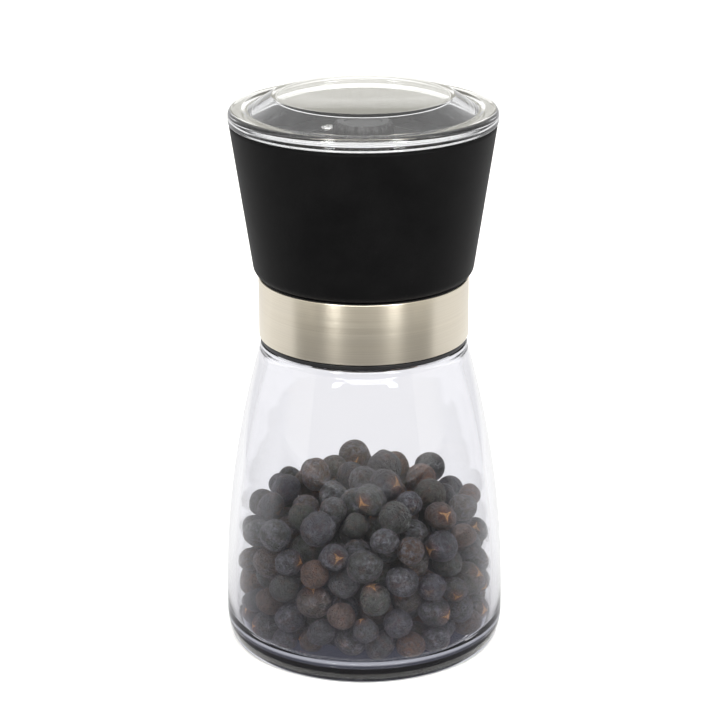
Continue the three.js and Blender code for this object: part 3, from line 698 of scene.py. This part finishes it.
outerTeeth = (
    [[burrRadius, burrBottom, 0, 0], [burrRadius, burrTop - 0.3, 0, 0], [burrRadius - 0.3, burrTop, 0, 0],
     [cone["throat"] + 0.5, burrTop, -0.5, -0.2]]
    + between([cone["throat"], burrTop - 0.5, -0.5, -0.2],
              [cone["throat"], burrBottom + cone["flareHeight"], -0.6, -0.1], 4)
    + between([cone["throat"], burrBottom + cone["flareHeight"], -0.6, -0.1],
              [cone["throat"] + cone["flare"], burrBottom, -0.9, 0], 4)
    + [[cone["throat"] + cone["flare"], burrBottom, -0.9, 0]])
addPiece("grinding_ring", toothed("grinding_ring", outerTeeth, cone["teeth"], 8, sawTooth), ceramic, "head",
         "burr_ceramic", "outer_burr", creaseAngle=25)

ringRadius, ringBottom, ringTop = nodeSpan("burr_retainer")
ringInner = burrRadius - 1.9
ringOutline = rounded([[ringInner, ringBottom], [ringRadius, ringBottom], [ringRadius, ringTop, 0.3],
                       [ringInner + 0.6, ringTop, 0.3]])
addPiece("retaining_ring", revolve("retaining_ring", ringOutline, 128), plainBlack, "head", "black_plastic",
         "burr_retainer")

knobRadius, knobBottom, knobTop = nodeSpan("adjusting_knob")
knob = {"grips": 18, "grip": 0.6, "bore": 2.4, "boreDepth": 5.9, "hub": 4.6, "sink": 0.5, "middle": 0.001}
knobRoof = knobBottom + knob["boreDepth"]
knobRows = (
    [[knob["middle"], knobRoof, 0, 0], [knob["bore"], knobRoof, 0, 0], [knob["bore"], knobBottom, 0, 0],
     [knobRadius - 1.6, knobBottom, 0, 0]]
    + between([knobRadius - 0.9, knobBottom + 0.5, 0.1, 0],
              [knobRadius, knobBottom + 1.2, knob["grip"], 0], 2)
    + between([knobRadius, knobBottom + 1.2, knob["grip"], 0], [knobRadius, knobTop - 1, knob["grip"], 0], 3)
    + between([knobRadius, knobTop - 1, knob["grip"], 0], [knobRadius - 1, knobTop, 0.25, 0], 3)
    + [[knobRadius - 1, knobTop, 0.2, 0], [knob["hub"], knobTop, 0, 0],
       [knob["hub"] - 0.4, knobTop - knob["sink"], 0, 0], [knob["middle"], knobTop - knob["sink"], 0, 0]])
addPiece("knurled_knob", toothed("knurled_knob", knobRows, knob["grips"], 10, scallop), plainBlack, "knob",
         "black_plastic", "adjusting_knob", creaseAngle=40)

screw = {"shank": 0.9, "point": 1.2, "head": 1.8, "headHeight": 1.2, "dome": 0.35, "armHalf": 0.24,
         "armLength": 1.15, "crossDepth": 0.7, "faceDepth": 0.9}


def crossHeadScrew(name, nodeName):
    # dome-headed screw turned about its own axis, whose head is pressed in along a cross
    low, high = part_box(nodeName)
    centre = (np.array(low) + np.array(high)) / 2 / mm
    top, bottom = high.z / mm, low.z / mm
    under = top - screw["headHeight"]
    outline = rounded([
        [0, bottom], [screw["shank"], bottom + screw["point"], 0.2], [screw["shank"], under],
        [screw["head"], under, 0.1], [screw["head"], top - screw["dome"], 0.5], [0, top]], 6)[1:-1]
    outline = finer(np.vstack([[0, bottom], outline, [0, top]]), 0.16)
    angle = np.linspace(0, tau, 48, endpoint=False)[None, :]
    radius = np.repeat(outline[:, :1], 48, 1)
    x, y = radius * np.cos(angle), radius * np.sin(angle)
    arm = np.minimum(np.abs(x), np.abs(y))
    sunk = (arm < screw["armHalf"]) & (radius < screw["armLength"])
    sunk = sunk & (outline[:, 1:] > top - screw["faceDepth"])
    z = np.repeat(outline[:, 1:], 48, 1) - np.where(sunk, screw["crossDepth"], 0)
    grid = np.stack([x + centre[0], y + centre[1], z], -1)
    addPiece(name, meshFromGrid(name, grid), screwSteel, "head", "bright_steel", nodeName, creaseAngle=30)


for number in (1, 2, 3):
    crossHeadScrew(f"cross_screw_{number}", f"retainer_screw_{number}")
print("grinder made")

# the clear dust cap
cap = {"flange": 3.2, "wall": 1.7, "disc": 21.1, "dome": 27.0, "plugWall": 1.4, "ribs": 6, "ribWidth": 0.8,
       "ribHeight": 0.4}
capRadius, capFoot, capTop = nodeSpan("dust_cap")
capSeat = headTop + seatGap
flangeTop = capSeat + cap["flange"]
plugRadius = dishRadius - seatGap - cap["ribWidth"] / 2
plugInner = plugRadius - cap["plugWall"]
capOutline = rounded([
    [0, capTop], [cap["disc"], capTop, 0.9], [cap["dome"], flangeTop - 0.4, 0.7],
    [cap["dome"] + 1.2, flangeTop, 0.6], [capRadius, flangeTop, 1.3], [capRadius, capSeat, 0.35],
    [plugRadius, capSeat, 0.2], [plugRadius, capFoot, 0.4], [plugInner, capFoot, 0.4],
    [plugInner, flangeTop - cap["wall"] - 1, 1.2], [cap["disc"] - 1, capTop - cap["wall"], 1.0],
    [0, capTop - cap["wall"]]], 8)


def plugRibs(radius, height, angle):
    # upright ribs on the plug: a raised cosine across each, on the plug's outer wall only
    offset = (angle * cap["ribs"] / tau + 0.5) % 1 - 0.5
    across = np.clip(1 - np.abs(offset) * tau * plugRadius / cap["ribs"] / cap["ribWidth"], 0, 1)
    ends = np.clip(np.minimum(height - capFoot - 0.4, capSeat - 0.5 - height) * 2, 0, 1)
    return np.where(np.abs(radius - plugRadius) < 0.02, cap["ribHeight"] * across * ends, 0)


capOutline = np.vstack([capOutline[:1], finer(capOutline[1:], 0.6)])
addPiece("clear_cap", revolve("clear_cap", capOutline, 240, plugRibs, closed=False), clearCap, "cap",
         "clear_acrylic", "dust_cap", creaseAngle=60)
print("dust cap made")

# these nodes keep their CAD shape and get only a finish
finishes = {
    "feed_spider": plainBlack, "glide_ring": nylon, "spindle": screwSteel, "spring_washer": screwSteel,
    "burr_spring": screwSteel, "spring_cup": screwSteel, "burr_washer": screwSteel,
    "spider_screw_1": screwSteel, "spider_screw_2": screwSteel, "spider_screw_3": screwSteel,
}
for nodeName, finish in finishes.items():
    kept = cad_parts[nodeName]
    kept.data.materials.clear()
    kept.data.materials.append(finish)

# the floor and the lights
floor = {"size": 6.0, "drop": 0.00005}
half = floor["size"] / 2
corners = [(-half, -half), (half, -half), (half, half), (-half, half)]
floorMesh = bpy.data.meshes.new("floor")
floorMesh.from_pydata([(x, y, -floor["drop"]) for x, y in corners], [], [(0, 1, 2, 3)])
floorMesh.materials.append(paleFloor())
floorPiece = bpy.data.objects.new("floor", floorMesh)
bpy.context.scene.collection.objects.link(floorPiece)

lights = {
    # bearing from the camera's side in degrees, distance, height, width, length, power
    "overhead": (180, 0.30, 1.20, 1.2, 1.2, 1.5),
    "backLeft": (-123, 0.9, 0.40, 0.22, 0.8, 2),
    "backRight": (126, 0.9, 0.40, 0.22, 0.8, 2),
    "frontLeft": (-32, 1.2, 0.78, 0.22, 0.9, 9),
    "frontRight": (34, 1.2, 0.78, 0.26, 0.9, 9),
    "frontTop": (8, 0.75, 1.05, 0.9, 0.7, 9),
}
aimHeight = 0.08
for name, (bearing, away, height, width, length, power) in lights.items():
    data = bpy.data.lights.new(name, "AREA")
    data.shape = "RECTANGLE"
    data.size, data.size_y = width, length
    data.energy = power
    lamp = bpy.data.objects.new(name, data)
    turn = math.radians(bearing)
    lamp.location = (away * math.sin(turn), -away * math.cos(turn), height)
    fall = math.atan2(height - aimHeight, away)
    lamp.rotation_euler = (math.pi / 2 - fall, 0, turn)
    bpy.context.scene.collection.objects.link(lamp)


# the cards: glowing sheets that are no lamps and paint reflections; only reflections see them, and
# refractions where throughGlass is true; their painted shade keeps the glass dark at its edges and clear in
# front of the berries
def addCard(name, mesh, tone, throughGlass):
    # glows with one colour, or with the tone that a function's nodes work out, as a painted reflection
    material = bpy.data.materials.new(name)
    material.use_nodes = True
    tree = material.node_tree
    tree.nodes.clear()
    glow = node(tree, "ShaderNodeEmission", {"Color": tone(tree) if callable(tone) else (*tone, 1)})
    node(tree, "ShaderNodeOutputMaterial", {"Surface": glow.outputs[0]})
    mesh.materials.append(material)
    card = bpy.data.objects.new(name, mesh)
    card.visible_camera = card.visible_diffuse = card.visible_shadow = False
    card.visible_transmission = throughGlass
    bpy.context.scene.collection.objects.link(card)


def paintedFrontReflection(tree):
    # painted reflection: dim away from the mill and towards the front, fading to white round to the back
    here = node(tree, "ShaderNodeSeparateXYZ", {"Vector": objectPlace(tree)})
    x, y = here.outputs["X"], here.outputs["Y"]
    away = mathNode(tree, "SQRT", mathNode(tree, "ADD", mathNode(tree, "MULTIPLY", x, x),
                                           mathNode(tree, "MULTIPLY", y, y)))
    dim = ramp(tree, mathNode(tree, "MULTIPLY", away, 5.0), (0.2, (0.42, 0.41, 0.44)), (0.85, grey(0.19)))
    bearing = mathNode(tree, "ABSOLUTE", mathNode(
        tree, "ARCTAN2", x, mathNode(tree, "MULTIPLY", y, -1.0)))
    around = ramp(tree, mathNode(tree, "DIVIDE", bearing, math.pi), (0.36, grey(0)), (0.72, grey(1)))
    return mixColour(tree, around, dim, grey(1.0))


def paintedUnderShadeAndLight(tree):
    # painted shade in dark blue-grey under the jar's floor, and painted paler light under the foot's outer
    # edge
    here = node(tree, "ShaderNodeVectorMath", {0: objectPlace(tree)}, operation="LENGTH").outputs["Value"]
    share = mathNode(tree, "DIVIDE", here, jarRadius * mm)
    return ramp(tree, share, (0.86, (0.045, 0.047, 0.065)), (0.92, (0.42, 0.43, 0.48)))


def risingTone(scale, low, high):
    # from one tone near the floor to another higher up
    def tone(tree):
        height = node(tree, "ShaderNodeSeparateXYZ", {"Vector": objectPlace(tree)}).outputs["Z"]
        return ramp(tree, mathNode(tree, "MULTIPLY", height, scale), low, high)
    return tone


def flatCard(name, inner, outer, height, tone):
    # ring or disc round the mill's axis: radius x (cos angle, sin angle), in millimetres
    angle = np.linspace(0, tau, 72, endpoint=False)[None, :]
    reach = np.array([inner, outer])[:, None]
    grid = np.stack([reach * np.cos(angle), reach * np.sin(angle), np.full((2, 72), height)], -1)
    addCard(name, meshFromGrid(name, grid), tone, True)


# glowing cards that paint reflections: the side cards paint grey at the glass's edges, the front card a dark
# painted reflection, the back card a bright painted highlight
paintedSideReflection = risingTone(4.0, (0.0, (0.80, 0.80, 0.82)), (0.8, grey(1)))
paintedFarReflection = risingTone(3.3, (0.05, grey(0.16)), (1.0, (0.42, 0.40, 0.37)))
uprightCards = [
    # name, both ends in plan, bottom, top, tone, seen through glass
    ("side_reflection_card", (-0.15, -0.04), (-0.15, 0.45), 0.001, 0.30, paintedSideReflection, True),
    ("side_reflection_card", (0.15, -0.04), (0.15, 0.45), 0.001, 0.30, paintedSideReflection, True),
    ("front_reflection_card", (-1.2, -0.95), (1.2, -0.95), 0.001, 0.30, paintedFarReflection, False),
    ("back_highlight_card", (-0.7, 0.9), (0.7, 0.9), 0.25, 0.70, (1.45, 1.42, 1.28), False),
]
for name, start, end, low, high, tone, throughGlass in uprightCards:
    cardMesh = bpy.data.meshes.new(name)
    cardMesh.from_pydata([(*start, low), (*end, low), (*end, high), (*start, high)], [], [(0, 1, 2, 3)])
    addCard(name, cardMesh, tone, throughGlass)
# the floor card paints dark reflections round the foot; the under card paints shade and a pale edge, seen
# through the jar's floor
flatCard("floor_reflection_card", jarRadius + 1.5, 1200, 0.5, paintedFrontReflection)  # round the foot, not under it
flatCard("under_shade_and_light_card", 0, jarRadius - 0.3, -0.02, paintedUnderShadeAndLight)

# the room, a little warmer in front, and the camera
room = {"strength": 1.18, "front": (1.0, 0.95, 0.85), "middle": (0.95, 0.93, 0.88)}
world = bpy.data.worlds.new("studio")
bpy.context.scene.world = world
world.use_nodes = True
sky = world.node_tree
facing = node(sky, "ShaderNodeTexCoord").outputs["Generated"]
direction = node(sky, "ShaderNodeSeparateXYZ", {"Vector": facing})
frontToBack = mathNode(sky, "ADD", mathNode(sky, "MULTIPLY", direction.outputs["Y"], 0.5), 0.5)
colour = ramp(sky, frontToBack, (0.0, room["front"]), (0.4, room["middle"]), (0.7, grey(1)))
sky.links.new(colour, sky.nodes["Background"].inputs["Color"])
sky.nodes["Background"].inputs["Strength"].default_value = room["strength"]

view = {"distance": 0.5722, "elevation": 19.2, "aim": 0.0697, "lens": 119.4, "shift": -0.00264, "roll": 0.14}
cameraData = bpy.data.cameras.new("camera")
cameraData.sensor_width = 36
cameraData.lens = view["lens"]
cameraData.shift_x = view["shift"]
cameraData.clip_start = 0.02
cameraData.clip_end = 20
camera = bpy.data.objects.new("camera", cameraData)
elevation = math.radians(view["elevation"])
camera.location = (0, -view["distance"] * math.cos(elevation),
                   view["aim"] + view["distance"] * math.sin(elevation))
camera.rotation_euler = (math.pi / 2 - elevation, math.radians(view["roll"]), 0)
bpy.context.scene.collection.objects.link(camera)
bpy.context.scene.camera = camera
bpy.context.scene.view_settings.view_transform = "Standard"
print("studio set")
